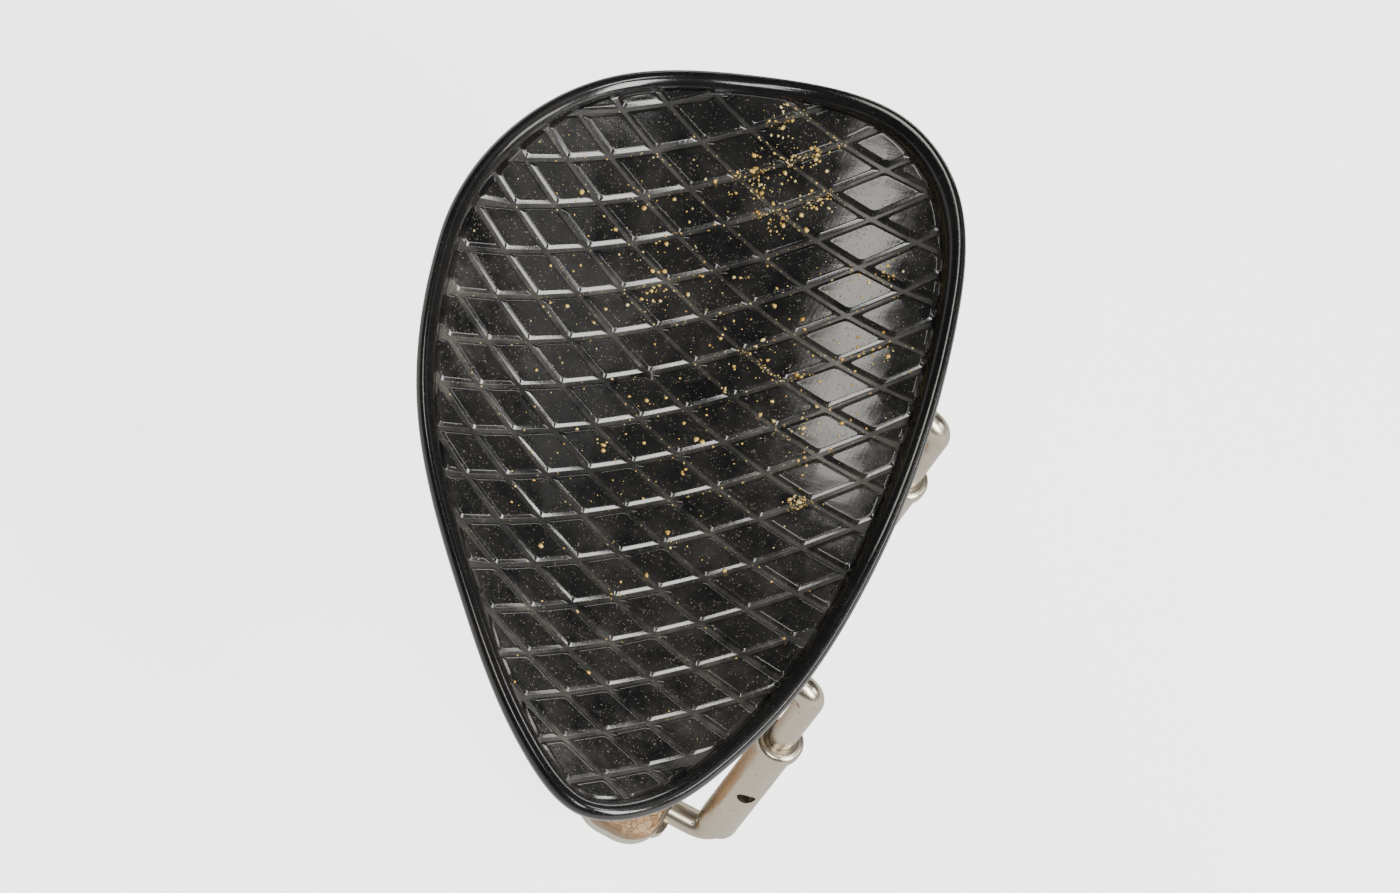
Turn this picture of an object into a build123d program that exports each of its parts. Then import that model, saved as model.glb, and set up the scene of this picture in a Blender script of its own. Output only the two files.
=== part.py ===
"""Side-mounted violin chin rest with a two-barrel clamp, in millimetres.

Everything is drawn about the point midway between the two barrel axes, level
with the cork faces that stand on the instrument's top.  +X points out of the
instrument, +Y along its edge towards the tailpiece and +Z up, away from its
top.  The finished pieces are then shifted so that the origin is the middle of
the tail-side cork's standing face.
"neck" pieces are on the -Y side and "tail" pieces on the +Y side.
"""

import math
import os

from build123d import *

# The instrument that the clamp is set for.
edge_height = 38.0

# How far joined shapes run into each other, and cutters past what they cut.
overlap = 0.5
overcut = 1.0

# The two clamp posts.
barrel_spacing = 38.0
barrel_radius = 2.45
barrel_top = -11.1
barrel_length = 27.0
barrel_edge_round = 0.45
tommy_radius = 1.1
tommy_turn = 15.0
thread_radius = 1.5
thread_clearance = 0.05
thread_grip = 9.0
upper_thread_showing = 1.2
lower_thread_showing = 0.9

# The beaded ring around each barrel's top end.
ring_height = 2.2
ring_radius = 2.85
neck_radius = 2.0
ring_clearance = 0.04
ring_round = 0.75

# The bent legs above and below the barrels.
rod_radius = 1.6
bend_radius = 2.5
upper_rod_height = 2.5
tab_thickness = 1.6
tab_start = 5.2
tab_length = 9.8
tab_width = 12.4
tab_round = 1.5
tab_neck_width = 5.2
tab_flare = 3.4
tab_rise = 1.1
rod_into_tab = 1.0

# The wood screws through the upper tabs.
screw_offset = 3.7
screw_inset = 5.4
screw_radius = 0.95
screw_head_radius = 1.9
screw_head_depth = 0.95
screw_bite = 5.5
slot_width = 0.5
slot_depth = 0.45
slot_turn = 35.0
slot_turn_per_mm = 9.0

# The dished plate: a shell between two tori with one common axis.
dish_low = 10.0
dish_centre = (-34.3, 1.5)
dish_turn = 22.0
dish_across = 48.0
dish_along = 150.0
trough_sweep = 60.0
prism_height = 40.0
shell_thickness = 3.0
bead_height = 0.9
bead_width = 2.6
plate_outline = [
    (-61.2, 2.1), (-60.4, 18.1), (-52.6, 32.5), (-38.0, 40.8),
    (-21.7, 41.7), (-12.3, 34.7), (-5.6, 19.7), (-2.3, 2.3),
    (-1.7, -13.5), (-3.4, -28.6), (-7.1, -40.9), (-12.2, -50.1),
    (-19.1, -54.4), (-26.8, -50.8), (-40.7, -36.5), (-54.2, -19.0),
]

# The flat landings under the plate for the upper tabs.
seat_shortening = 0.4
seat_widening = 1.6
seat_round = 1.2
seat_shift = 0.9
seat_margin = 1.0

# The two bearing blocks under the plate and their corks: x, y and turn of each.
block_length = 12.0
block_width = 9.0
block_draft = 4.0
lug_top = 23.0
cork_thickness = 2.5
cork_round = 1.8
blocks = {"neck": (-19.5, -34.0, -22.0), "tail": (-21.5, 30.5, 18.0)}

# The foot under the instrument.
foot_length = 52.0
foot_width = 10.8
foot_centre = -11.0
foot_thickness = 1.5
foot_round = 4.5
foot_cork_thickness = 2.2
foot_cork_gap = 3.0
foot_cork_margin = 0.5
foot_cork_end_margin = 0.8
foot_cork_round = 2.5
lower_tab_start = 4.8
lower_tab_length = 8.6
lower_tab_width = 8.0
lower_tab_thickness = 1.4
lower_tab_round = 2.0
lower_rod_rise = 0.1
rod_into_lower_tab = 0.7
rivet_inset = 4.9
rivet_radius = 1.2
rivet_head_radius = 2.1
rivet_head_height = 0.8
rivet_head_round = 0.56
rivet_overlap = 0.2

upwards = (Align.CENTER, Align.CENTER, Align.MIN)
downwards = (Align.CENTER, Align.CENTER, Align.MAX)

sides = {"neck": -barrel_spacing / 2, "tail": barrel_spacing / 2}
barrel_bottom = barrel_top - barrel_length
barrel_middle = (barrel_top + barrel_bottom) / 2
bore_radius = thread_radius + thread_clearance
tab_top = upper_rod_height + tab_rise
foot_plate_top = -edge_height - foot_cork_thickness
foot_plate_bottom = foot_plate_top - foot_thickness
lower_rod_height = foot_plate_bottom + lower_rod_rise
parts = {}


def upright(radius, low, high, x=0.0, y=0.0):
    """A vertical cylinder between two heights."""
    return Pos(x, y, low) * Cylinder(radius, high - low, align=upwards)


def rounded_slab(length_x, length_y, low, high, corner):
    """A flat slab centred on the Z axis with rounded upright corners."""
    outline = RectangleRounded(length_x, length_y, corner)
    return Pos(0, 0, low) * extrude(outline, high - low)


def dish_torus(tube_radius):
    """A trough bent along its length, whose underside is the dish or a surface parallel to it."""
    section = Plane.XZ * Pos(0, dish_low + dish_across) * Rot(0, 0, 90) * Circle(tube_radius)
    hinge = Axis((0, 0, dish_low + dish_along), (1, 0, 0))
    trough = revolve(section, hinge, trough_sweep).rotate(hinge, -trough_sweep / 2)
    return Pos(dish_centre[0], dish_centre[1], 0) * Rot(0, 0, dish_turn) * trough


def drawn_in(inset):
    """The outline's points, each moved inwards square to its neighbours' chord."""
    count = len(plate_outline)
    points = []
    for index, (x, y) in enumerate(plate_outline):
        before = plate_outline[index - 1]
        after = plate_outline[(index + 1) % count]
        run = (after[0] - before[0], after[1] - before[1])
        scale = inset / math.hypot(*run)
        points.append((x + run[1] * scale, y - run[0] * scale))
    return points


def plate_prism(inset):
    """The plate's outline, drawn in by the inset and made upright."""
    outline = Spline(*drawn_in(inset), periodic=True)
    face = Face(Wire([outline.trim(0, 0.5), outline.trim(0.5, 1)]))
    return extrude(face, prism_height, dir=(0, 0, 1))


def bent_rod(y, start_height, turn_height, reach):
    """A rod that leaves the barrel upright and turns in over the instrument."""
    path = FilletPolyline(
        (0, y, start_height),
        (0, y, turn_height),
        (-reach, y, turn_height),
        radius=bend_radius,
    )
    return sweep(Plane(origin=path @ 0, z_dir=path % 0) * Circle(rod_radius), path=path)


def screw_places(y):
    """The two screw axes of one upper tab."""
    x = -tab_start - screw_inset
    return [(x, y - screw_offset), (x, y + screw_offset)]


def bearing_block(side, low, high, draft):
    """A bearing block or its cork, turned to lie along the instrument's edge."""
    x, y, turn = blocks[side]
    face = RectangleRounded(block_width, block_length, cork_round)
    block = extrude(face, high - low, taper=-draft)
    return Pos(x, y, low) * Rot(0, 0, turn) * block


def tab_seat(y):
    """The flat landing under the plate for one upper leg's tab."""
    length = tab_length - seat_shortening
    seat = rounded_slab(length, tab_width + seat_widening, tab_top, lug_top, seat_round)
    seat = Pos(-tab_start - tab_length / 2 - seat_shift, y, 0) * seat
    return seat & plate_prism(seat_margin)


def chin_plate():
    """The moulded plate, with its beaded rim, bearing blocks and tab seats."""
    lugs = [bearing_block(side, cork_thickness, lug_top, block_draft) for side in sides]
    lugs += [tab_seat(y) for y in sides.values()]
    plate = plate_prism(0) & dish_torus(dish_across + shell_thickness)
    plate = plate.fuse(*lugs)
    plate = plate - dish_torus(dish_across - bead_height)
    plate = plate - (plate_prism(bead_width) & dish_torus(dish_across))
    for y in sides.values():
        for place in screw_places(y):
            plate = plate - upright(screw_radius, tab_top - overcut, tab_top + screw_bite, *place)
    return plate


def rest_cork(side):
    """A cork pad glued under one bearing block."""
    return bearing_block(side, 0, cork_thickness, 0)


def leg_tab(y):
    """The flattened end of an upper leg, fanning out from the rod."""
    start, flared, end = -tab_start, -tab_start - tab_flare, -tab_start - tab_length
    side, neck = tab_width / 2, tab_neck_width / 2
    corners = [(start, -neck), (start, neck), (flared, side), (end, side), (end, -side), (flared, -side)]
    face = Polygon(*corners, align=None)
    face = fillet(face.vertices(), tab_round)
    return Pos(0, y, tab_top - tab_thickness) * extrude(face, tab_thickness, dir=(0, 0, 1))


def upper_leg(y):
    """A bent leg: right-hand thread below, flattened tab for two screws above."""
    thread_end = barrel_top + upper_thread_showing
    thread = upright(thread_radius, barrel_top - thread_grip, thread_end + overlap, 0, y)
    rod = bent_rod(y, thread_end, upper_rod_height, tab_start + rod_into_tab)
    leg = thread + rod + leg_tab(y)
    for x, screw_y in screw_places(y):
        leg = leg - screw_body(x, screw_y)
    return leg


def screw_body(x, y):
    """A countersunk wood screw without its slot, driven upwards."""
    face = tab_top - tab_thickness
    cone = Cone(screw_head_radius, screw_radius, screw_head_depth, align=upwards)
    shank = upright(screw_radius, face + screw_head_depth / 2, tab_top + screw_bite, x, y)
    return Pos(x, y, face) * cone + shank


def leg_screw(x, y):
    """A countersunk wood screw with a slotted head."""
    slot = Box(2 * screw_head_radius + overcut, slot_width, slot_depth, align=upwards)
    turn = slot_turn + slot_turn_per_mm * y
    return screw_body(x, y) - Pos(x, y, tab_top - tab_thickness) * Rot(0, 0, turn) * slot


def barrel(y):
    """A turnbuckle barrel with a cross hole for the tommy key."""
    sleeve = upright(barrel_radius, barrel_bottom, barrel_top - ring_height)
    sleeve = fillet(sleeve.edges().sort_by(Axis.Z)[0], barrel_edge_round)
    sleeve = sleeve + upright(neck_radius, barrel_top - ring_height - overlap, barrel_top)
    sleeve = sleeve - upright(bore_radius, barrel_bottom - overcut, barrel_top + overcut)
    hole = Rot(0, 0, tommy_turn) * Rot(90, 0, 0) * Cylinder(tommy_radius, 4 * barrel_radius)
    sleeve = sleeve - Pos(0, 0, barrel_middle) * hole
    return Pos(0, y, 0) * sleeve


def barrel_ring(y):
    """The beaded ring that sits on the barrel's shoulder."""
    low = barrel_top - ring_height
    bead = upright(ring_radius, low, barrel_top)
    bead = fillet(bead.edges(), ring_round)
    hole = upright(neck_radius + ring_clearance, low - overcut, barrel_top + overcut)
    return Pos(0, y, 0) * (bead - hole)


def lower_leg(y):
    """A bent leg: left-hand thread above, flattened tab under the foot below."""
    thread_end = barrel_bottom - lower_thread_showing
    thread = upright(thread_radius, thread_end - overlap, barrel_bottom + thread_grip, 0, y)
    rod = bent_rod(y, thread_end, lower_rod_height, lower_tab_start + rod_into_lower_tab)
    low = foot_plate_bottom - lower_tab_thickness
    slab = rounded_slab(lower_tab_length, lower_tab_width, low, foot_plate_bottom, lower_tab_round)
    leg = thread + rod + Pos(-lower_tab_start - lower_tab_length / 2, y, 0) * slab
    return leg - foot_rivet(y)


def foot_rivet(y):
    """A domed rivet through one lower leg's tab, flush with the top of the foot plate."""
    x = -lower_tab_start - rivet_inset
    low = foot_plate_bottom - lower_tab_thickness
    shank = upright(rivet_radius, low - rivet_overlap, foot_plate_top, x, y)
    head = Cylinder(rivet_head_radius, rivet_head_height, align=downwards)
    head = fillet(head.edges().sort_by(Axis.Z)[0], rivet_head_round)
    return shank + Pos(x, y, low) * head


def foot_plate():
    """The flat strap that joins the lower legs under the instrument."""
    strap = rounded_slab(foot_width, foot_length, foot_plate_bottom, foot_plate_top, foot_round)
    strap = Pos(foot_centre, 0, 0) * strap
    for y in sides.values():
        strap = strap - foot_rivet(y)
    return strap


def foot_cork(side):
    """One half of the cork that bears on the instrument's back."""
    length = (foot_length - foot_cork_gap) / 2 - foot_cork_end_margin
    width = foot_width - 2 * foot_cork_margin
    pad = rounded_slab(width, length, foot_plate_top, -edge_height, foot_cork_round)
    y = math.copysign((length + foot_cork_gap) / 2, sides[side])
    return Pos(foot_centre, y, 0) * pad


parts["chin_plate"] = chin_plate()
parts["foot_plate"] = foot_plate()
for side, y in sides.items():
    parts["rest_cork_" + side] = rest_cork(side)
    parts["upper_leg_" + side] = upper_leg(y)
    for number, place in enumerate(screw_places(y), start=1):
        parts[f"leg_screw_{side}_{number}"] = leg_screw(*place)
    parts["barrel_" + side] = barrel(y)
    parts["barrel_ring_" + side] = barrel_ring(y)
    parts["lower_leg_" + side] = lower_leg(y)
    parts["foot_rivet_" + side] = foot_rivet(y)
    parts["foot_cork_" + side] = foot_cork(side)

standing_x, standing_y, _ = blocks["tail"]
home = Pos(-standing_x, -standing_y, 0)
os.makedirs("parts", exist_ok=True)
for name, shape in parts.items():
    export_step(home * shape, f"parts/{name}.step")
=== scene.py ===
"""Looks of the side-mounted chin rest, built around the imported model.

Shapes are worked out in drawing millimetres: the drawing's zero is midway
between the two barrels, level with the corks' standing faces.
"""

import math
import random

import bpy
import numpy as np
from mathutils import Matrix, Vector, noise
from mathutils.bvhtree import BVHTree


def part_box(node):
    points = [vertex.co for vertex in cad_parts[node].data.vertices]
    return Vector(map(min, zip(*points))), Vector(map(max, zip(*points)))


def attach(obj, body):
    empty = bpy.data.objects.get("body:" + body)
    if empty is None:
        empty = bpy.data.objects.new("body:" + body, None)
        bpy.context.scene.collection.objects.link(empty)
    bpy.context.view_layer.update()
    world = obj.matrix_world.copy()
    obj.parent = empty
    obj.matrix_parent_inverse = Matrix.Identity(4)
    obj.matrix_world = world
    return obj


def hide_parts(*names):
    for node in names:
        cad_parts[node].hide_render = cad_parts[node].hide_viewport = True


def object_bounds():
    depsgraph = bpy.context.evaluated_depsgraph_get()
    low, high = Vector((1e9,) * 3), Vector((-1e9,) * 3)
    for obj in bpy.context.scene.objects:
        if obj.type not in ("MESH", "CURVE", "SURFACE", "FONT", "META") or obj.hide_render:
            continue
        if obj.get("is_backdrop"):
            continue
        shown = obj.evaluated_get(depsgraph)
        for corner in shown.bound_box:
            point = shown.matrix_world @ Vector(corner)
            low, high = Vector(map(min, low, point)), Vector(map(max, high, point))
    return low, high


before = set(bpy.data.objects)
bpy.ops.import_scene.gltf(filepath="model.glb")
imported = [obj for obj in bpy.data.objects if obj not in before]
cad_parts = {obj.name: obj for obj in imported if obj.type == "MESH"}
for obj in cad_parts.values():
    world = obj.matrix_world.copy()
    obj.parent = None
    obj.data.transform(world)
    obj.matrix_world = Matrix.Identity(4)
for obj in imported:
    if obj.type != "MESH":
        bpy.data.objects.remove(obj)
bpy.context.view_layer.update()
random.seed(14)
noise.seed_set(14)

# The dish is a trough bent along its length: its lowest height, middle, turn
# and two radii, then the bead on its rim and the shell's thickness.
DISH_LOW = 10.0
DISH_X, DISH_Y = -34.3, 1.5
DISH_TURN = math.radians(22)
DISH_ACROSS = 48.0
DISH_ALONG = 150.0
BEAD_HEIGHT = 0.9
SHELL_THICKNESS = 3.0

# The moulded hatching: the depth of its grooves and the width of their floors,
# then two families of slightly bowed lines.  Each family's numbers are its start,
# two slopes and three bends about the hatch middle.
GROOVE_DEPTH = 0.36
GROOVE_FLOOR = 0.42
HATCH_MIDDLE = np.array([-30.0, -3.0])
HATCH_STEEP = (8.29, 0.12831, -0.14256, 0.000243, 0.000139, -0.000088)
HATCH_SHALLOW = (-0.943, 0.07087, 0.19558, -0.000399, -0.000296, -0.000085)

# The pads between the grooves: how far in from the edge they end and how far that
# border is moved, the share of the bevel that slivers get, the least area and the
# closest corners of a pad, the step between the outline's points that bound them,
# and how unevenly their tops lean.
PAD_INSET = 2.42
PAD_SHIFT = (0.0, 0.2)
SLIVER_BEVEL = 0.6
SMALLEST_PAD = 0.25
CLOSEST_CORNERS = 0.3
BORDER_STEP = 3
PAD_LEAN = 0.0035

# The camera: its place and aim in drawing millimetres, the way across its
# picture and its lens.
VIEWPOINT = (-53.3, -293.9, 535.6)
AIM = (-24.5, -2.8, 11.0)
ACROSS_VIEW = (0.86755, 0.4937, 0.06009)
LENS = 138.5

# Points round the plate's edge, and points along the spline they're taken from.
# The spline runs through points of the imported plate's upright wall: how near its
# crest they lie, how far its faces' normals may dip, and the points' least spacing.
OUTLINE_POINTS = 420
SPLINE_POINTS = 4001
CREST_REACH = 0.03
WALL_TILT = 0.02
EDGE_SPACING = 0.4

# The bearing blocks and tab seats under the shell: the turn of each block, the
# sizes of a block and a seat, how far a seat stays in from the plate's edge and
# how widely each runs into the shell.  Turns and draft are in degrees.
BLOCKS = {"neck": -22.0, "tail": 18.0}
BLOCK_WIDTH, BLOCK_LENGTH, BLOCK_ROUND, BLOCK_DRAFT = 9.0, 12.0, 1.8, 4.0
SEAT_WIDTH, SEAT_LENGTH, SEAT_ROUND, SEAT_SHIFT = 9.4, 14.0, 1.2, -0.4
SEAT_MARGIN, SEAT_FLARE, BLOCK_FLARE = 1.1, 0.3, 0.9

# The corks: height of those under the blocks, corners of those on the foot and
# the spacing of points along their sides.
CORK_HEIGHT = 2.5
FOOT_CORK_ROUND = 2.5
CORK_SPACING = 0.3

# In metres: how far the floor lies below the foot at rest, so that the foot
# clears it when the clamp is fully open, and half the floor's width.
FOOT_DROP = 0.0063
GROUND_REACH = 1.6

# The glow of the floor and of the surroundings, in reflections and as seen, and
# the height over the drawing's zero that the lights face.
FLOOR_GLOW = (0.25, 2.5)
AIR_GLOW = (0.07, 2.4)
LIT_HEIGHT = 12.0


def middle_of_barrels():
    """The drawing's zero in the frame, in metres."""
    corners = [*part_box("barrel_neck"), *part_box("barrel_tail")]
    centre = sum(corners, Vector()) / 4
    return np.array([centre.x, centre.y, 0.0])


ZERO = middle_of_barrels()


def to_frame(points):
    """Drawing millimetres to frame metres."""
    return np.asarray(points, float) * 0.001 + ZERO


def to_drawing(points):
    """Frame metres to drawing millimetres."""
    return (np.asarray(points, float) - ZERO) * 1000


def dish(x, y, lift=0.0):
    """Height of the dish, or of the surface parallel to it and that far above."""
    dx, dy = np.asarray(x) - DISH_X, np.asarray(y) - DISH_Y
    across = dx * math.cos(DISH_TURN) + dy * math.sin(DISH_TURN)
    along = -dx * math.sin(DISH_TURN) + dy * math.cos(DISH_TURN)
    reach = DISH_ALONG - DISH_ACROSS + np.sqrt((DISH_ACROSS - lift) ** 2 - across**2)
    return DISH_LOW + DISH_ALONG - np.sqrt(reach**2 - along**2)


# ---------------------------------------------------------------- materials


class Nodes:
    """A short way to build a node material."""

    def __init__(self, name):
        self.material = bpy.data.materials.new(name)
        self.material.use_nodes = True
        self.tree = self.material.node_tree
        self.tree.nodes.clear()
        self.output = self.tree.nodes.new("ShaderNodeOutputMaterial")
        self.shader = self.tree.nodes.new("ShaderNodeBsdfPrincipled")
        self.link(self.shader.outputs["BSDF"], self.output.inputs["Surface"])
        self.place = self.tree.nodes.new("ShaderNodeTexCoord").outputs["Object"]

    def link(self, source, target):
        """Joins two sockets."""
        self.tree.links.new(source, target)

    def feed(self, target, value):
        """Links a socket, or sets a plain value."""
        if isinstance(value, bpy.types.NodeSocket):
            self.link(value, target)
        else:
            target.default_value = value

    def stretch(self, scale, turn=0.0):
        """Object coordinates, scaled and turned about the upright axis."""
        node = self.tree.nodes.new("ShaderNodeMapping")
        self.link(self.place, node.inputs["Vector"])
        node.inputs["Scale"].default_value = scale
        node.inputs["Rotation"].default_value = (0, 0, turn)
        return node.outputs["Vector"]

    def noise(self, scale, detail=3.0, rough=0.55, vector=None):
        """Soft noise between 0 and 1; its scale is per metre."""
        node = self.tree.nodes.new("ShaderNodeTexNoise")
        self.link(vector or self.place, node.inputs["Vector"])
        node.inputs["Scale"].default_value = scale
        node.inputs["Detail"].default_value = detail
        node.inputs["Roughness"].default_value = rough
        return node.outputs["Fac"]

    def cells(self, scale, feature="F1", output="Distance", vector=None):
        """Distance to a cell's middle, or another output; its scale is per metre."""
        node = self.tree.nodes.new("ShaderNodeTexVoronoi")
        node.feature = feature
        self.link(vector or self.place, node.inputs["Vector"])
        node.inputs["Scale"].default_value = scale
        return node.outputs[output]

    def ramp(self, value, stops):
        """A colour ramp; stops are (position, grey or colour)."""
        node = self.tree.nodes.new("ShaderNodeValToRGB")
        self.link(value, node.inputs["Fac"])
        elements = node.color_ramp.elements
        while len(elements) < len(stops):
            elements.new(0.5)
        for element, (position, colour) in zip(elements, stops):
            element.position = position
            if not isinstance(colour, tuple):
                colour = (colour, colour, colour)
            element.color = (*colour, 1.0)
        return node.outputs["Color"]

    def mix(self, factor, first, second):
        """A colour between the first and the second."""
        node = self.tree.nodes.new("ShaderNodeMix")
        node.data_type = "RGBA"
        self.feed(node.inputs["Factor"], factor)
        for socket, value in ((node.inputs[6], first), (node.inputs[7], second)):
            if isinstance(value, tuple):
                value = (*value, 1.0)
            self.feed(socket, value)
        return node.outputs[2]

    def math(self, operation, first, second):
        """One operation on two values."""
        node = self.tree.nodes.new("ShaderNodeMath")
        node.operation = operation
        self.feed(node.inputs[0], first)
        self.feed(node.inputs[1], second)
        return node.outputs[0]

    def span(self, value, low, high):
        """A value between 0 and 1 brought between low and high."""
        return self.math("ADD", self.math("MULTIPLY", value, high - low), low)

    def bump(self, height, depth, strength=1.0, under=None):
        """A surface raised by a height, on top of another bump if one is given."""
        node = self.tree.nodes.new("ShaderNodeBump")
        node.inputs["Distance"].default_value = depth
        node.inputs["Strength"].default_value = strength
        self.link(height, node.inputs["Height"])
        if under is not None:
            self.link(under, node.inputs["Normal"])
        return node.outputs["Normal"]

    def camera_ray(self):
        """1 for what the camera sees directly, 0 for reflections and bounces."""
        return self.tree.nodes.new("ShaderNodeLightPath").outputs["Is Camera Ray"]

    def finish(self, **inputs):
        """Sets shader inputs by name, with spaces written as underscores."""
        for name, value in inputs.items():
            socket = self.shader.inputs[name.replace("_", " ")]
            if isinstance(value, tuple):
                value = (*value, 1.0)
            self.feed(socket, value)
        return self.material


def ebonite(name, dust, dust_colour=(0.115, 0.108, 0.098), sheen=(0.1, 0.26), grit=0.2, crinkle=0.3):
    """Polished black hard rubber with a thin grey film, specks and fine scratches."""
    n = Nodes(name)
    film = n.ramp(n.noise(210, 7, 0.68), [(0.36, 0.0), (0.74, 1.0)])
    patches = n.ramp(n.noise(42, 4, 0.55), [(0.35, 0.2), (0.68, 1.0)])
    film = n.math("MULTIPLY", film, patches)
    specks = n.ramp(n.cells(1500), [(0.0, 1.0), (0.13, 1.0), (0.19, 0.0)])
    specks = n.math("MULTIPLY", specks, n.ramp(n.noise(520, 1, 0.4), [(0.47, 0.0), (0.55, 1.0)]))
    motes = n.ramp(n.cells(3300), [(0.0, 1.0), (0.17, 1.0), (0.24, 0.0)])
    motes = n.math("MULTIPLY", motes, n.ramp(n.noise(1300, 1, 0.4), [(0.46, 0.0), (0.54, 1.0)]))
    motes = n.math("MULTIPLY", n.math("MAXIMUM", motes, specks), n.span(patches, 0.3, 1.0))
    motes = n.math("MULTIPLY", motes, grit)
    cover = n.math("MINIMUM", n.math("MULTIPLY", film, dust), 1.0)
    tint = n.ramp(n.noise(60, 2, 0.5), [
        (0.3, (0.005, 0.005, 0.0054)), (0.75, (0.01, 0.0096, 0.0092)),
    ])
    colour = n.mix(cover, tint, dust_colour)
    colour = n.mix(motes, colour, (0.28, 0.25, 0.18))
    cover = n.math("MAXIMUM", cover, motes)
    handling = n.noise(75, 5, 0.6)
    gloss = n.span(n.ramp(handling, [(0.3, 0.0), (0.75, 1.0)]), *sheen)
    gloss = n.math("ADD", gloss, n.math("MULTIPLY", cover, 0.25))
    one_way = n.noise(1, 3, 0.6, n.stretch((2600, 160, 400), 0.6))
    other_way = n.noise(1, 3, 0.6, n.stretch((170, 2300, 400), 0.25))
    scratches = n.math("ADD", one_way, other_way)
    skin = n.bump(scratches, 0.000012, 0.5)
    skin = n.bump(n.noise(420, 3, 0.5), 0.00003, crinkle, skin)
    skin = n.bump(motes, 0.00004, 0.7, skin)
    return n.finish(
        Base_Color=colour, Roughness=gloss, Normal=skin, IOR=1.6,
        Coat_Weight=0.25, Coat_Roughness=0.08,
    )


def worn_metal(name, colour, dull, sheen, wear):
    """Old metal or plating: pitted, with dull tarnish in patches."""
    n = Nodes(name)
    patches = n.ramp(n.noise(260, 5, 0.62), [(0.42, 0.0), (0.72, 1.0)])
    clouds = n.ramp(n.noise(90, 3, 0.5), [(0.35, 0.0), (0.75, 1.0)])
    tarnish = n.math("MULTIPLY", n.math("MULTIPLY", patches, clouds), wear)
    pits = n.ramp(n.cells(1500), [(0.0, 1.0), (0.1, 1.0), (0.17, 0.0)])
    chosen = n.ramp(n.noise(600, 1, 0.5), [(0.55, 0.0), (0.6, 1.0)])
    pits = n.math("MULTIPLY", pits, chosen)
    body = n.mix(tarnish, colour, dull)
    body = n.mix(n.math("MULTIPLY", pits, 0.85), body, (0.1, 0.075, 0.055))
    blotch = n.noise(150, 4, 0.6)
    gloss = n.span(blotch, *sheen)
    gloss = n.math("ADD", gloss, n.math("MULTIPLY", tarnish, 0.3))
    gloss = n.math("ADD", gloss, n.math("MULTIPLY", pits, 0.4))
    lines = n.noise(1, 2, 0.5, n.stretch((500, 500, 4200)))
    skin = n.bump(lines, 0.00001, 0.5)
    skin = n.bump(n.math("SUBTRACT", 1.0, pits), 0.00005, 0.7, skin)
    metal = n.math("SUBTRACT", 1.0, n.math("MULTIPLY", pits, 0.7))
    return n.finish(Base_Color=body, Metallic=metal, Roughness=gloss, Normal=skin)


def cork(name):
    """Fine sheet cork: tan granules with dark seams and pores."""
    n = Nodes(name)
    granule = n.cells(1150, output="Color")
    tone = n.ramp(granule, [
        (0.0, (0.36, 0.2, 0.1)), (0.35, (0.52, 0.32, 0.17)),
        (0.7, (0.63, 0.42, 0.24)), (1.0, (0.72, 0.52, 0.33)),
    ])
    seams = n.ramp(n.cells(1150, "DISTANCE_TO_EDGE"), [(0.0, 0.0), (0.07, 1.0)])
    tone = n.mix(seams, (0.2, 0.105, 0.05), tone)
    pores = n.ramp(n.cells(420, vector=n.stretch((1, 1, 1.8))), [(0.0, 1.0), (0.15, 1.0), (0.24, 0.0)])
    pores = n.math("MULTIPLY", pores, n.ramp(n.noise(300, 2, 0.5), [(0.5, 0.0), (0.58, 1.0)]))
    tone = n.mix(pores, tone, (0.075, 0.038, 0.02))
    grime = n.ramp(n.noise(130, 4, 0.6), [(0.35, 0.0), (0.8, 0.55)])
    tone = n.mix(grime, tone, (0.19, 0.13, 0.085))
    grain = n.noise(3200, 3, 0.6)
    height = n.math("SUBTRACT", n.math("ADD", n.math("MULTIPLY", seams, 0.6), grain), pores)
    skin = n.bump(height, 0.00009, 0.8)
    return n.finish(
        Base_Color=tone, Roughness=n.span(grain, 0.72, 0.95), Normal=skin,
        Specular_IOR_Level=0.3,
    )


def rosin_dust(name):
    """Crumbs of rosin and grit, from amber to pale gold."""
    n = Nodes(name)
    tone = n.ramp(n.noise(700, 2, 0.5), [
        (0.32, (0.6, 0.33, 0.07)), (0.5, (0.93, 0.63, 0.17)), (0.68, (1.0, 0.87, 0.45)),
    ])
    skin = n.bump(n.noise(9000, 2, 0.5), 0.00002, 0.6)
    return n.finish(Base_Color=tone, Roughness=n.span(n.noise(2500), 0.3, 0.7), Normal=skin)


def floor_paper(name):
    """The plain pale ground, with a faint paper tooth, dimmer in reflections."""
    n = Nodes(name)
    tone = n.ramp(n.noise(12, 2, 0.5), [(0.3, (0.86, 0.855, 0.85)), (0.7, (0.9, 0.897, 0.89))])
    skin = n.bump(n.noise(900, 3, 0.5), 0.0001, 0.15)
    seen = n.camera_ray()
    tone = n.mix(seen, (0.5, 0.497, 0.49), tone)
    return n.finish(
        Base_Color=tone, Roughness=0.8, Normal=skin,
        Emission_Color=(1.0, 0.995, 0.985), Emission_Strength=n.span(seen, *FLOOR_GLOW),
    )


# ------------------------------------------------------------------ meshes


def piece(name, points, faces, materials, body, replaced=(), slots=None):
    """A smooth-shaded mesh from drawing millimetres, riding on a body."""
    mesh = bpy.data.meshes.new(name)
    mesh.from_pydata([tuple(p) for p in to_frame(points)], [], faces)
    for material in materials:
        mesh.materials.append(material)
    slots = slots or [0] * len(faces)
    mesh.polygons.foreach_set("material_index", slots)
    mesh.polygons.foreach_set("use_smooth", [True] * len(faces))
    mesh.validate()
    obj = bpy.data.objects.new(name, mesh)
    bpy.context.scene.collection.objects.link(obj)
    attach(obj, body)
    if replaced:
        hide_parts(*replaced)


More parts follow.
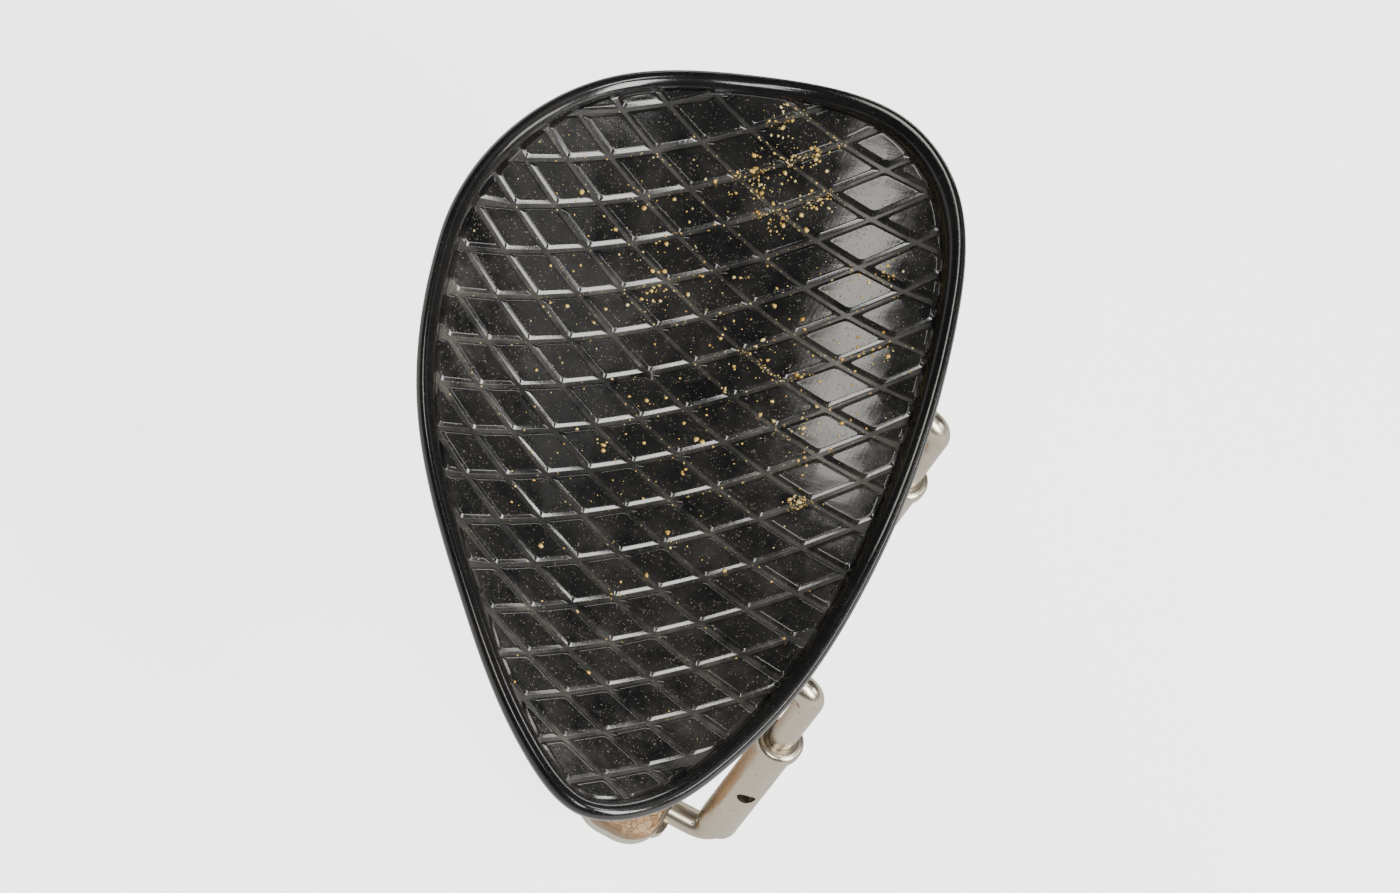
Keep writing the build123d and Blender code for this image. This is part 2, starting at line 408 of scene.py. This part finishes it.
class Build:
    """Collects rings of points and the faces between them."""

    def __init__(self):
        self.points = []
        self.faces = []
        self.slots = []

    def ring(self, points):
        start = len(self.points)
        self.points.extend(np.asarray(points, float).tolist())
        return range(start, len(self.points))

    def face(self, corners, slot=0):
        self.faces.append(tuple(corners))
        self.slots.append(slot)

    def band(self, first, second, slot=0):
        """Quads between two rings of equal count."""
        count = len(first)
        for i in range(count):
            j = (i + 1) % count
            self.face((first[i], first[j], second[j], second[i]), slot)

    def fan(self, ring, point, slot=0, turned=False):
        """Triangles from a ring to one point."""
        centre = self.ring([point])[0]
        count = len(ring)
        for i in range(count):
            j = (i + 1) % count
            corners = (ring[i], ring[j], centre)
            self.face(corners[::-1] if turned else corners, slot)


def periodic_spline(points, count):
    """Evenly spaced points on the closed cubic spline through the given ones."""
    points = np.asarray(points, float)
    total = len(points)
    chord = np.linalg.norm(np.roll(points, -1, 0) - points, axis=1)
    knots = np.concatenate([[0], np.cumsum(chord)])
    system = np.zeros((total, total))
    right = np.zeros((total, 2))
    for i in range(total):
        before, after = chord[i - 1], chord[i]
        system[i, i - 1] += before
        system[i, i] += 2 * (before + after)
        system[i, (i + 1) % total] += after
        forward = (points[(i + 1) % total] - points[i]) / after
        backward = (points[i] - points[i - 1]) / before
        right[i] = 6 * (forward - backward)
    bend = np.linalg.solve(system, right)

    def at(where):
        i = np.clip(np.searchsorted(knots, where, side="right") - 1, 0, total - 1)
        j = (i + 1) % total
        h = chord[i][:, None]
        a = (knots[i + 1] - where)[:, None] / h
        b = 1 - a
        cubic = ((a**3 - a) * bend[i] + (b**3 - b) * bend[j]) * h * h / 6
        return a * points[i] + b * points[j] + cubic

    fine = at(np.linspace(0, knots[-1], SPLINE_POINTS)[:-1])
    steps = np.linalg.norm(np.roll(fine, -1, 0) - fine, axis=1)
    run = np.concatenate([[0], np.cumsum(steps)])
    closed = np.vstack([fine, fine[:1]])
    places = np.linspace(0, run[-1], count + 1)[:-1]
    return np.column_stack([np.interp(places, run, closed[:, k]) for k in (0, 1)])


def plate_outline():
    """The plate's outer edge in plan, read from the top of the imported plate's wall."""
    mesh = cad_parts["chin_plate"].data
    places = to_drawing([v.co for v in mesh.vertices])
    centre = np.array([DISH_X, DISH_Y])
    crest = np.abs(places[:, 2] - dish(places[:, 0], places[:, 1], BEAD_HEIGHT)) < CREST_REACH
    found = []
    for face in mesh.polygons:
        if abs(face.normal.z) > WALL_TILT:
            continue
        outward = to_drawing(face.center)[:2] - centre
        if outward @ np.array(face.normal.xy) <= 0:
            continue
        found.extend(tuple(places[v][:2].round(3)) for v in face.vertices if crest[v])
    found = sorted(set(found), key=lambda p: math.atan2(p[1] - centre[1], p[0] - centre[0]))
    kept = []
    for point in found:
        if not kept or math.dist(point, kept[-1]) > EDGE_SPACING:
            kept.append(point)
    if math.dist(kept[0], kept[-1]) < EDGE_SPACING:
        kept.pop()
    return periodic_spline(kept, OUTLINE_POINTS)


OUTLINE = plate_outline()


def inward_normals(loop):
    """Unit normals pointing into an anticlockwise loop."""
    run = np.roll(loop, -1, 0) - np.roll(loop, 1, 0)
    run /= np.linalg.norm(run, axis=1)[:, None]
    return np.column_stack([-run[:, 1], run[:, 0]])


INWARD = inward_normals(OUTLINE)


def inset_outline(inset):
    """The outline moved inwards."""
    return OUTLINE + INWARD * inset


# Inset from the edge and height over the dish, from under the shell up over the bead.
RIM_PROFILE = [
    (9.0, -3.0), (6.5, -3.0), (4.8, -2.98), (3.6, -2.88), (2.6, -2.7), (1.8, -2.42),
    (1.15, -2.1), (0.65, -1.72), (0.3, -1.3), (0.1, -0.9), (0.01, -0.55), (0.02, -0.3),
    (0.12, -0.02), (0.27, 0.26), (0.46, 0.52), (0.7, 0.73), (1.0, 0.85), (1.35, 0.86),
    (1.68, 0.76), (1.92, 0.6), (2.1, 0.38), (2.22, 0.14), (2.3, -0.1), (2.38, -0.27),
    (2.5, -0.36), (2.7, -0.36), (3.2, -0.36), (4.2, -0.36), (6.0, -0.36), (9.0, -0.36),
]
# The profile's step at which the grooves' floor begins, and the rings that close
# the floor towards its middle.
FLOOR_FROM = 24
SHRINKS = [0.94 - 0.06 * step for step in range(16)]


def level(plan, lift):
    """Plan points put on the surface parallel to the dish."""
    plan = np.asarray(plan, float)
    return np.column_stack([plan, dish(plan[:, 0], plan[:, 1], lift)])


def shrunk(plan, share):
    """Plan points drawn towards the dish's middle."""
    centre = np.array([DISH_X, DISH_Y])
    return centre + (np.asarray(plan) - centre) * share


def rounded_loop(length_x, length_y, corner, per_corner=10, spacing=None):
    """An anticlockwise rounded rectangle about zero; spacing fills the straight runs."""
    loop = []
    for turn, (sx, sy) in enumerate(((1, 1), (-1, 1), (-1, -1), (1, -1))):
        cx, cy = sx * (length_x / 2 - corner), sy * (length_y / 2 - corner)
        for i in range(per_corner + 1):
            angle = math.pi / 2 * (turn + i / per_corner)
            loop.append((cx + corner * math.cos(angle), cy + corner * math.sin(angle)))
    if spacing is None:
        return np.array(loop)
    dense = []
    for start, end in zip(loop, loop[1:] + loop[:1]):
        parts = max(1, round(math.dist(start, end) / spacing))
        for i in range(parts):
            dense.append(tuple(np.array(start) + (np.array(end) - np.array(start)) * i / parts))
    return np.array(dense)


def turned(plan, degrees, x, y):
    """Plan points turned about zero and moved."""
    angle = math.radians(degrees)
    c, s = math.cos(angle), math.sin(angle)
    return np.asarray(plan) @ np.array([[c, s], [-s, c]]) + np.array([x, y])


def add_shell(build):
    """The shell from the middle of its underside round the rim to the middle of its floor."""
    last = None
    under = inset_outline(RIM_PROFILE[0][0])
    middle = (DISH_X, DISH_Y, float(dish(DISH_X, DISH_Y, -SHELL_THICKNESS)))
    for share in reversed(SHRINKS[1::2]):
        ring = build.ring(level(shrunk(under, share), -SHELL_THICKNESS))
        if last is None:
            build.fan(ring, middle, turned=True)
        else:
            build.band(ring, last)
        last = ring
    for index, (inset, lift) in enumerate(RIM_PROFILE):
        ring = build.ring(level(inset_outline(inset), lift))
        build.band(ring, last, 1 if index > FLOOR_FROM else 0)
        last = ring
    for share in SHRINKS:
        ring = build.ring(level(shrunk(under, share), -GROOVE_DEPTH))
        build.band(ring, last, 1)
        last = ring
    build.fan(last, (DISH_X, DISH_Y, float(dish(DISH_X, DISH_Y, -GROOVE_DEPTH))), 1)


def inside(point, loop):
    """Whether a plan point lies inside a loop."""
    x, y = point
    crossings = 0
    for (ax, ay), (bx, by) in zip(loop, np.roll(loop, -1, 0)):
        if (ay > y) != (by > y) and x < ax + (y - ay) * (bx - ax) / (by - ay):
            crossings += 1
    return crossings % 2 == 1


def reach_along(loop, start, way):
    """How far a ray from inside a loop runs before it leaves it."""
    run = np.roll(loop, -1, 0) - loop
    offset = loop - start
    cross = way[0] * run[:, 1] - way[1] * run[:, 0]
    cross = np.where(np.abs(cross) < 1e-12, 1e-12, cross)
    far = (offset[:, 0] * run[:, 1] - offset[:, 1] * run[:, 0]) / cross
    along = (offset[:, 0] * way[1] - offset[:, 1] * way[0]) / cross
    return far[(far > 0) & (along > -1e-9) & (along < 1 + 1e-9)].min()


def held_in(loop, border, count=160):
    """The part of a loop's inside that also lies within the border."""
    middle = loop.mean(0)
    held = []
    for angle in np.linspace(0, math.tau, count, endpoint=False):
        way = np.array([math.cos(angle), math.sin(angle)])
        reach = min(reach_along(edge, middle, way) for edge in (loop, border))
        held.append(middle + way * reach)
    return np.array(held)


# A lug's flat end: height above it and growth.  Its fillet with the shell: depth
# under the shell and growth.  Its top, buried in the shell: the same, with the
# lug's flare added to the growth.
LUG_END = ((0.0, -0.3), (0.06, -0.13), (0.2, -0.03), (0.4, 0.0))
LUG_FILLET = ((1.5, 0.0), (0.9, 0.05), (0.5, 0.17), (0.2, 0.4), (0.02, 0.75))
LUG_BURIED = ((-0.15, 0.3), (-1.2, 0.3))


def add_lug(build, loop, low, draft, flare):
    """A closed lug that grows up from a flat end into the shell, with a moulded fillet."""
    slope = math.tan(math.radians(draft))
    top = dish(loop[:, 0], loop[:, 1], -SHELL_THICKNESS)
    outward = -inward_normals(loop)
    last = None
    for rise, growth in LUG_END:
        ring = build.ring(np.column_stack([loop + outward * growth, np.full(len(loop), low + rise)]))
        if last is None:
            build.fan(ring, (*loop.mean(0), low), turned=True)
        else:
            build.band(last, ring)
        last = ring
    buried = [(under, flare + growth) for under, growth in LUG_BURIED]
    for under, growth in (*LUG_FILLET, *buried):
        growth = growth + slope * np.maximum(top - under - low, 0)
        plan = loop + outward * growth[:, None]
        ring = build.ring(level(plan, -SHELL_THICKNESS) - (0, 0, under))
        build.band(last, ring)
        last = ring
    build.fan(last, (*loop.mean(0), float(top.mean()) - LUG_BURIED[-1][0]))


def clipped(polygon, axis, limit, keep_above):
    """A polygon cut by one line of constant u or v."""
    kept = []
    sign = 1 if keep_above else -1
    for i, here in enumerate(polygon):
        there = polygon[(i + 1) % len(polygon)]
        a, b = sign * (here[axis] - limit), sign * (there[axis] - limit)
        if a >= 0:
            kept.append(here)
        if (a >= 0) != (b >= 0):
            kept.append(here + (there - here) * a / (a - b))
    return kept


def area_of(loop):
    """The area inside an anticlockwise loop."""
    x, y = loop[:, 0], loop[:, 1]
    return 0.5 * float(x @ np.roll(y, -1) - y @ np.roll(x, -1))


def cleaned(loop, least):
    """The loop without points that nearly coincide."""
    kept = []
    for point in loop:
        if not kept or np.linalg.norm(point - kept[-1]) > least:
            kept.append(point)
    while len(kept) > 2 and np.linalg.norm(kept[0] - kept[-1]) <= least:
        kept.pop()
    return np.array(kept)


# Corners that turn by more than this many degrees are rounded, by at most this
# share of a side; and the least value of the mitre's divisor at pointed corners.
SHARP_TURN = 20
MOST_CUT = 0.45
MITRE_LEAST = 0.4


def sharp_corners(loop):
    """Which of a loop's corners turn enough to need rounding."""
    back, ahead = np.roll(loop, 1, 0) - loop, np.roll(loop, -1, 0) - loop
    lengths = np.linalg.norm(back, axis=1) * np.linalg.norm(ahead, axis=1)
    return (back * ahead).sum(1) / lengths > -math.cos(math.radians(SHARP_TURN))


def softened(loop, sharp, cut):
    """The loop with its sharp corners turned into short arcs."""
    out = []
    for i, here in enumerate(loop):
        if not sharp[i]:
            out.append(here)
            continue
        back, ahead = loop[i - 1] - here, loop[(i + 1) % len(loop)] - here
        first = here + back * min(cut / np.linalg.norm(back), MOST_CUT)
        last = here + ahead * min(cut / np.linalg.norm(ahead), MOST_CUT)
        for t in (0, 0.25, 0.5, 0.75, 1):
            out.append((1 - t) ** 2 * first + 2 * t * (1 - t) * here + t * t * last)
    return np.array(out)


def mitred(loop, inset):
    """The loop moved inwards along its corners' bisectors."""
    run = np.roll(loop, -1, 0) - loop
    run /= np.linalg.norm(run, axis=1)[:, None]
    after = np.column_stack([-run[:, 1], run[:, 0]])
    before = np.roll(after, 1, 0)
    scale = 1 / np.maximum(1 + (after * before).sum(1), MITRE_LEAST)
    return loop + (after + before) * scale[:, None] * inset


def line_number(family, plan):
    """Which line of one hatch family runs through each plan place."""
    start, slope_x, slope_y, bend_x, bend_xy, bend_y = family
    dx, dy = (plan - HATCH_MIDDLE).T
    bent = bend_x * dx * dx + bend_xy * dx * dy + bend_y * dy * dy
    return start + slope_x * dx + slope_y * dy + bent


def to_hatch(plan):
    """Plan places as numbers along both hatch families."""
    return np.column_stack([line_number(HATCH_STEEP, plan), line_number(HATCH_SHALLOW, plan)])


# The two families' slopes, and how often a place is corrected by them.
HATCH_SLOPES = np.array([HATCH_STEEP[1:3], HATCH_SHALLOW[1:3]])
HATCH_ROUNDS = 12


def from_hatch(numbers):
    """Plan places of hatch numbers, closed in on step by step."""
    plan = np.tile(HATCH_MIDDLE, (len(numbers), 1))
    for _ in range(HATCH_ROUNDS):
        plan = plan + np.linalg.solve(HATCH_SLOPES, (numbers - to_hatch(plan)).T).T
    return plan


def keeps_shape(loop, inset):
    """Whether no side of the loop turns over when it is moved inwards."""
    moved = mitred(loop, inset)
    before, after = np.roll(loop, -1, 0) - loop, np.roll(moved, -1, 0) - moved
    return bool(((after * before).sum(1) > 0.01).all())


def simplified(loop, inset):
    """The loop with its shortest sides merged until it can be moved inwards."""
    while len(loop) > 3 and not keeps_shape(loop, inset):
        sides = np.linalg.norm(np.roll(loop, -1, 0) - loop, axis=1)
        i = int(np.argmin(sides))
        loop[i] = (loop[i] + loop[(i + 1) % len(loop)]) / 2
        loop = np.delete(loop, (i + 1) % len(loop), 0)
    return loop


# From a pad's root to its top: inset, height over the top, corner cut and material;
# then the rings that close its top towards its middle.
PAD_PROFILE = [
    (-0.06, -0.7, 0.25, 1), (-0.03, -0.43, 0.25, 1),
    (0.0, -0.35, 0.28, 1), (0.05, -0.305, 0.3, 1),
    (0.3, -0.07, 0.42, 2), (0.36, -0.022, 0.45, 2), (0.43, -0.003, 0.5, 0), (0.52, 0.0, 0.5, 0),
]
PAD_RINGS = [0.8, 0.55, 0.3]


def add_pads(build):
    """The raised pads of the hatching."""
    border = to_hatch(inset_outline(PAD_INSET)[::BORDER_STEP] + PAD_SHIFT)
    margins = GROOVE_FLOOR / 2 * np.linalg.norm(HATCH_SLOPES, axis=1)
    low, high = np.floor(border.min(0)).astype(int), np.ceil(border.max(0)).astype(int)
    for j in range(low[0], high[0]):
        column = clipped(list(border), 0, j + margins[0], True)
        column = clipped(column, 0, j + 1 - margins[0], False)
        for k in range(low[1], high[1]):
            cell = clipped(column, 1, k + margins[1], True)
            cell = clipped(cell, 1, k + 1 - margins[1], False)
            if len(cell) < 3:
                continue
            loop = cleaned(from_hatch(np.array(cell)), CLOSEST_CORNERS)
            if len(loop) < 3:
                continue
            for share in (1.0, SLIVER_BEVEL):
                bevel = PAD_PROFILE[-1][0] * share
                fitted = simplified(loop.copy(), bevel)
                if keeps_shape(fitted, bevel) and area_of(mitred(fitted, bevel)) > SMALLEST_PAD:
                    add_pad(build, fitted, share)
                    break


def add_pad(build, loop, share):
    """One raised pad with bevelled sides, whose top follows the dish."""
    centre = loop.mean(0)
    tilt = np.array([random.gauss(0, PAD_LEAN), random.gauss(0, PAD_LEAN)])

    def raised(plan, drop):
        lean = (plan - centre) @ tilt
        return np.column_stack([plan, dish(plan[:, 0], plan[:, 1]) + lean + drop])

    last = None
    sharp = sharp_corners(loop)
    for inset, drop, cut, slot in PAD_PROFILE:
        plan = softened(mitred(loop, inset * share), sharp, cut * share)
        ring = build.ring(raised(plan, drop))
        if last is None:
            build.face(list(ring)[::-1])
        else:
            build.band(last, ring, slot)
        last = ring
    for share in PAD_RINGS:
        ring = build.ring(raised(centre + (plan - centre) * share, 0.0))
        build.band(last, ring)
        last = ring
    build.fan(last, raised(centre[None], 0.0)[0])


# A cork pad's side: row height and fewest rows, how far it bulges, where the bulge
# starts, how far its face is drawn in and how crumbly it is, the scales of the
# coarse and fine noise per millimetre and the fine one's share; then the rings of
# its flat faces.
CORK_ROW, CORK_FEWEST_ROWS = 0.28, 6
CORK_BULGE, CORK_BULGE_FROM, CORK_DRAWN_IN, CORK_CRUMBLE = 0.16, 0.55, 0.06, 0.07
CORK_COARSE, CORK_FINE, CORK_FINE_SHARE = 2.3, 6.1, 0.5
CORK_RINGS = (0.25, 0.5, 0.7, 0.84, 0.93, 0.98)


def crumbled(points):
    """Side points pushed about by coarse and fine noise, in plan."""
    moved = []
    for x, y, z in points:
        coarse = noise.noise_vector(Vector((x * CORK_COARSE, y * CORK_COARSE, z * CORK_COARSE)))
        fine = noise.noise_vector(Vector((x * CORK_FINE, y * CORK_FINE, z * CORK_FINE)))
        shift_x = coarse.x + CORK_FINE_SHARE * fine.x
        shift_y = coarse.y + CORK_FINE_SHARE * fine.y
        moved.append((x + shift_x * CORK_CRUMBLE, y + shift_y * CORK_CRUMBLE, z))
    return moved


def cork_pad(name, plan, low, high, body, node, material):
    """A pressed cork slab with flat faces and bulging, crumbly sides."""
    build = Build()
    rows = max(CORK_FEWEST_ROWS, round((high - low) / CORK_ROW))
    last = None
    centre = plan.mean(0)

    def face_ring(share, height):
        flat = centre + (plan - centre) * share
        return [(x, y, height) for x, y in flat]

    for share in CORK_RINGS:
        ring = build.ring(face_ring(share, low))
        if last is None:
            build.fan(ring, (*centre, low), turned=True)
        else:
            build.band(ring, last)
        last = ring
    inward = inward_normals(plan)
    for row in range(rows + 1):
        share = row / rows
        swell = CORK_BULGE * (math.sin(math.pi * share) - CORK_BULGE_FROM)
        ring = build.ring(crumbled(np.column_stack([
            plan - inward * (swell - CORK_DRAWN_IN), np.full(len(plan), low + (high - low) * share),
        ])))
        build.band(ring if row == 0 else last, last if row == 0 else ring)
        last = ring
    for share in reversed(CORK_RINGS):
        ring = build.ring(face_ring(share, high))
        build.band(last, ring)
        last = ring
    build.fan(last, (*centre, high))
    piece(name, build.points, build.faces, [material], body, [node])


# ------------------------------------------------------------- the object

black_gloss = ebonite("ebonite_polished", dust=0.08, grit=0.12)
black_floor = ebonite(
    "ebonite_grooves", dust=1.2, dust_colour=(0.125, 0.117, 0.1), sheen=(0.3, 0.45), grit=0.6,
)
black_bevel = ebonite(
    "ebonite_bevels", dust=0.6, dust_colour=(0.12, 0.113, 0.1), sheen=(0.1, 0.2), grit=0.4,
)
black_pads = ebonite(
    "ebonite_pads", dust=0.7, dust_colour=(0.08, 0.077, 0.07), sheen=(0.08, 0.13), grit=0.55,
    crinkle=0.08,
)
nickel_bright = worn_metal(
    "nickel_bright", colour=(0.6, 0.535, 0.425), dull=(0.27, 0.235, 0.19), sheen=(0.16, 0.36), wear=0.7,
)
nickel_worn = worn_metal(
    "nickel_worn", colour=(0.66, 0.62, 0.54), dull=(0.3, 0.25, 0.2), sheen=(0.24, 0.46), wear=0.8,
)
steel = worn_metal(
    "screw_steel", colour=(0.46, 0.45, 0.44), dull=(0.2, 0.17, 0.15), sheen=(0.28, 0.45), wear=0.7,
)
brass = worn_metal(
    "rivet_brass", colour=(0.66, 0.48, 0.22), dull=(0.26, 0.16, 0.07), sheen=(0.22, 0.42), wear=0.8,
)
cork_sheet = cork("cork_sheet")


def middle_of(node):
    """A node's middle in drawing millimetres."""
    low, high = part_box(node)
    return to_drawing((low + high) / 2)


shell = Build()
add_shell(shell)
for side, turn in BLOCKS.items():
    x, y, _ = middle_of("rest_cork_" + side)
    block = turned(rounded_loop(BLOCK_WIDTH, BLOCK_LENGTH, BLOCK_ROUND), turn, x, y)
    add_lug(shell, block, CORK_HEIGHT, BLOCK_DRAFT, BLOCK_FLARE)
    x, y, _ = (middle_of(f"leg_screw_{side}_1") + middle_of(f"leg_screw_{side}_2")) / 2
    seat_low = float(to_drawing(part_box("upper_leg_" + side)[1])[2])
    seat = turned(rounded_loop(SEAT_WIDTH, SEAT_LENGTH, SEAT_ROUND), 0, x + SEAT_SHIFT, y)
    add_lug(shell, held_in(seat, inset_outline(SEAT_MARGIN)), seat_low, 0.0, SEAT_FLARE)
piece(
    "chin_plate_shell", shell.points, shell.faces, [black_gloss, black_floor],
    "root", ["chin_plate"], shell.slots,
)

pads = Build()
add_pads(pads)
piece(
    "chin_plate_pads", pads.points, pads.faces, [black_pads, black_floor, black_bevel],
    "root", slots=pads.slots,
)

for side, turn in BLOCKS.items():
    x, y, _ = middle_of("rest_cork_" + side)
    plan = rounded_loop(BLOCK_WIDTH, BLOCK_LENGTH, BLOCK_ROUND, 12, CORK_SPACING)
    cork_pad(
        "cork_pad_top_" + side, turned(plan, turn, x, y), 0.0, CORK_HEIGHT,
        "root", "rest_cork_" + side, cork_sheet,
    )
    low, high = (to_drawing(corner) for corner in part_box("foot_cork_" + side))
    plan = rounded_loop(*(high - low)[:2], FOOT_CORK_ROUND, 12, CORK_SPACING)
    cork_pad(
        "cork_pad_foot_" + side, plan + ((low + high) / 2)[:2], low[2], high[2],
        "foot", "foot_cork_" + side, cork_sheet,
    )


def dress(node, material):
    """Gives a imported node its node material."""
    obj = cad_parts[node]
    obj.data.materials.clear()
    obj.data.materials.append(material)


for side in BLOCKS:
    for kind in ("barrel_", "barrel_ring_", "upper_leg_", "lower_leg_"):
        dress(kind + side, nickel_bright)
    for number in (1, 2):
        dress(f"leg_screw_{side}_{number}", steel)
    dress("foot_rivet_" + side, brass)
dress("foot_plate", nickel_worn)


# ------------------------------------------------------------------- dust


def surface_under(x, y, trees):
    """The highest surface at a plan place, with its normal, in frame metres."""
    start = Vector(to_frame([x, y, OVERHEAD]).tolist())
    hits = [tree.ray_cast(start, Vector((0, 0, -1))) for tree in trees]
    hits = [hit for hit in hits if hit[0] is not None]
    return max(hits, key=lambda hit: hit[0].z)[:2] if hits else None


# Drifts of dust: middle, spread and how many crumbs.
DRIFTS = [
    ((-32.5, 37.0), 1.3, 70), ((-32.0, 30.5), 1.4, 90), ((-28.3, 35.0), 1.1, 70),
    ((-25.3, 30.0), 1.0, 60), ((-28.5, 26.0), 1.2, 70), ((-16.0, 23.3), 1.6, 60),
    ((-12.3, -5.0), 0.7, 70), ((-21.5, 10.0), 1.2, 40), ((-12.5, 14.0), 1.6, 50),
    ((-14.5, 4.0), 2.4, 60), ((-36.0, 12.0), 1.2, 30), ((-36.0, 20.0), 7.0, 150),
    ((-24.0, 12.0), 4.0, 70), ((-22.0, 0.0), 8.0, 150), ((-46.0, 18.0), 7.0, 80),
    ((-30.0, -20.0), 12.0, 130), ((-47.0, -2.0), 8.0, 60),
]
# The share of crumbs fallen into grooves and how far they lie from a groove's
# middle, as a share of the grooves' spacing; and how far in from the edge all start.
SETTLED = 0.5
OFF_GROOVE = 0.035
DUST_INSET = 2.9
# A crumb: its least, mean further and greatest size, its fewest and most corners
# and how unevenly they stand; then, as shares of its size, the corners' reach,
# the top's height, the belt's height and the root's depth.
CRUMB_LEAST, CRUMB_MORE, CRUMB_MOST = 0.08, 0.095, 0.42
CRUMB_CORNERS, CRUMB_UNEVEN = (5, 7), 0.25
CRUMB_REACH, CRUMB_TOP = (0.55, 1.0), (0.45, 0.8)
CRUMB_BELT, CRUMB_ROOT = 0.2, 0.15
# A height in the drawing above every surface.
OVERHEAD = 60.0


def dust_places():
    """Seeded places for the crumbs, many of them fallen into the grooves."""
    safe = inset_outline(DUST_INSET)
    for (mx, my), spread, count in DRIFTS:
        for _ in range(count):
            place = np.array([random.gauss(mx, spread), random.gauss(my, spread)])
            if random.random() < SETTLED:
                number = to_hatch(place[None])
                family = random.randint(0, 1)
                number[0, family] = round(number[0, family]) + random.gauss(0, OFF_GROOVE)
                place = from_hatch(number)[0]
            if inside(place, safe):
                yield place


def add_crumb(build, place, normal, size):
    """One irregular closed crumb, lying on the surface."""
    up = Vector(normal)
    side_way = up.orthogonal().normalized()
    other_way = up.cross(side_way)
    corners = random.randint(*CRUMB_CORNERS)
    start = random.uniform(0, math.tau)
    belt = []
    for i in range(corners):
        angle = start + math.tau * (i + random.uniform(-CRUMB_UNEVEN, CRUMB_UNEVEN)) / corners
        reach = size * random.uniform(*CRUMB_REACH)
        way = side_way * math.cos(angle) + other_way * math.sin(angle)
        belt.append(place + way * reach + up * size * CRUMB_BELT)
    ring = build.ring(belt)
    build.fan(ring, place + up * size * random.uniform(*CRUMB_TOP))
    build.fan(ring, place - up * size * CRUMB_ROOT, turned=True)


def shaken_dust():
    """All crumbs as one piece."""
    depsgraph = bpy.context.evaluated_depsgraph_get()
    hosts = [bpy.data.objects[name] for name in ("chin_plate_shell", "chin_plate_pads")]
    trees = [BVHTree.FromObject(host, depsgraph) for host in hosts]
    build = Build()
    for x, y in dust_places():
        found = surface_under(x, y, trees)
        if found is None:
            continue
        place = Vector(to_drawing(found[0]).tolist())
        size = min(CRUMB_MOST, CRUMB_LEAST + random.expovariate(1 / CRUMB_MORE))
        add_crumb(build, place, found[1], size)
    dust = rosin_dust("rosin_dust")
    piece("rosin_dust", build.points, build.faces, [dust], "root")


shaken_dust()

# ------------------------------------------------------------------ studio


def ground():
    """The floor under the object."""
    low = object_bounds()[0][2] - FOOT_DROP
    mesh = bpy.data.meshes.new("ground")
    corners = [
        (ZERO[0] + sx * GROUND_REACH, ZERO[1] + sy * GROUND_REACH, low)
        for sx, sy in ((-1, -1), (1, -1), (1, 1), (-1, 1))
    ]
    mesh.from_pydata(corners, [], [(0, 1, 2, 3)])
    mesh.materials.append(floor_paper("ground_paper"))
    obj = bpy.data.objects.new("ground", mesh)
    bpy.context.scene.collection.objects.link(obj)
    obj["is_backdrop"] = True


def softbox(name, way, distance, size, power, colour=(1.0, 0.985, 0.96)):
    """An area light facing the plate.

    Its way is an azimuth and an elevation in degrees; azimuth 0 is the -Y side.
    """
    azimuth, elevation = way
    target = Vector(to_frame([DISH_X, DISH_Y, LIT_HEIGHT]).tolist())
    az, el = math.radians(azimuth), math.radians(elevation)
    way = Vector((math.sin(az) * math.cos(el), -math.cos(az) * math.cos(el), math.sin(el)))
    light = bpy.data.lights.new(name, "AREA")
    light.shape = "RECTANGLE"
    light.size, light.size_y = size
    light.energy = power
    light.color = colour
    obj = bpy.data.objects.new(name, light)
    obj.location = target + way * distance
    obj.rotation_euler = (-way).to_track_quat("-Z", "Y").to_euler()
    bpy.context.scene.collection.objects.link(obj)


def camera():
    """The photograph's viewpoint, turned to face the object and closed in on it."""
    place = Vector(to_frame(VIEWPOINT).tolist())
    back = (place - Vector(to_frame(AIM).tolist())).normalized()
    right = Vector(ACROSS_VIEW)
    right = (right - right.dot(back) * back).normalized()
    up = back.cross(right)
    data = bpy.data.cameras.new("camera")
    data.lens = LENS
    data.clip_start, data.clip_end = 0.05, 10
    obj = bpy.data.objects.new("camera", data)
    obj.rotation_euler = Matrix((right, up, back)).transposed().to_euler()
    obj.location = place
    bpy.context.scene.collection.objects.link(obj)
    bpy.context.scene.camera = obj


def studio_air():
    """Pale surroundings, dimmer in reflections than as seen."""
    world = bpy.data.worlds.new("studio")
    world.use_nodes = True
    nodes, links = world.node_tree.nodes, world.node_tree.links
    backdrop = nodes["Background"]
    backdrop.inputs["Color"].default_value = (0.93, 0.96, 1.0, 1.0)
    seen = nodes.new("ShaderNodeLightPath").outputs["Is Camera Ray"]
    strength = nodes.new("ShaderNodeMapRange")
    strength.inputs["To Min"].default_value = AIR_GLOW[0]
    strength.inputs["To Max"].default_value = AIR_GLOW[1]
    links.new(seen, strength.inputs["Value"])
    links.new(strength.outputs["Result"], backdrop.inputs["Strength"])
    bpy.context.scene.world = world


ground()
softbox("key", way=(-100, 45), distance=1.1, size=(0.46, 0.24), power=2.3, colour=(1.0, 0.97, 0.9))
softbox("window", way=(70, 36), distance=1.2, size=(0.45, 0.85), power=19)
softbox("front", way=(5, 48), distance=1.2, size=(0.4, 0.35), power=5)
softbox("skylight", way=(112, 67), distance=1.3, size=(0.2, 0.45), power=2.8)
softbox("glint", way=(-20, 58), distance=1.2, size=(0.3, 0.06), power=1.6)
softbox("back", way=(180, 12), distance=1.4, size=(1.0, 0.22), power=4)
softbox("side", way=(108, 23), distance=1.3, size=(0.5, 0.3), power=3)
softbox("ceiling", way=(140, 50), distance=1.6, size=(1.0, 0.6), power=0.7)
camera()
studio_air()
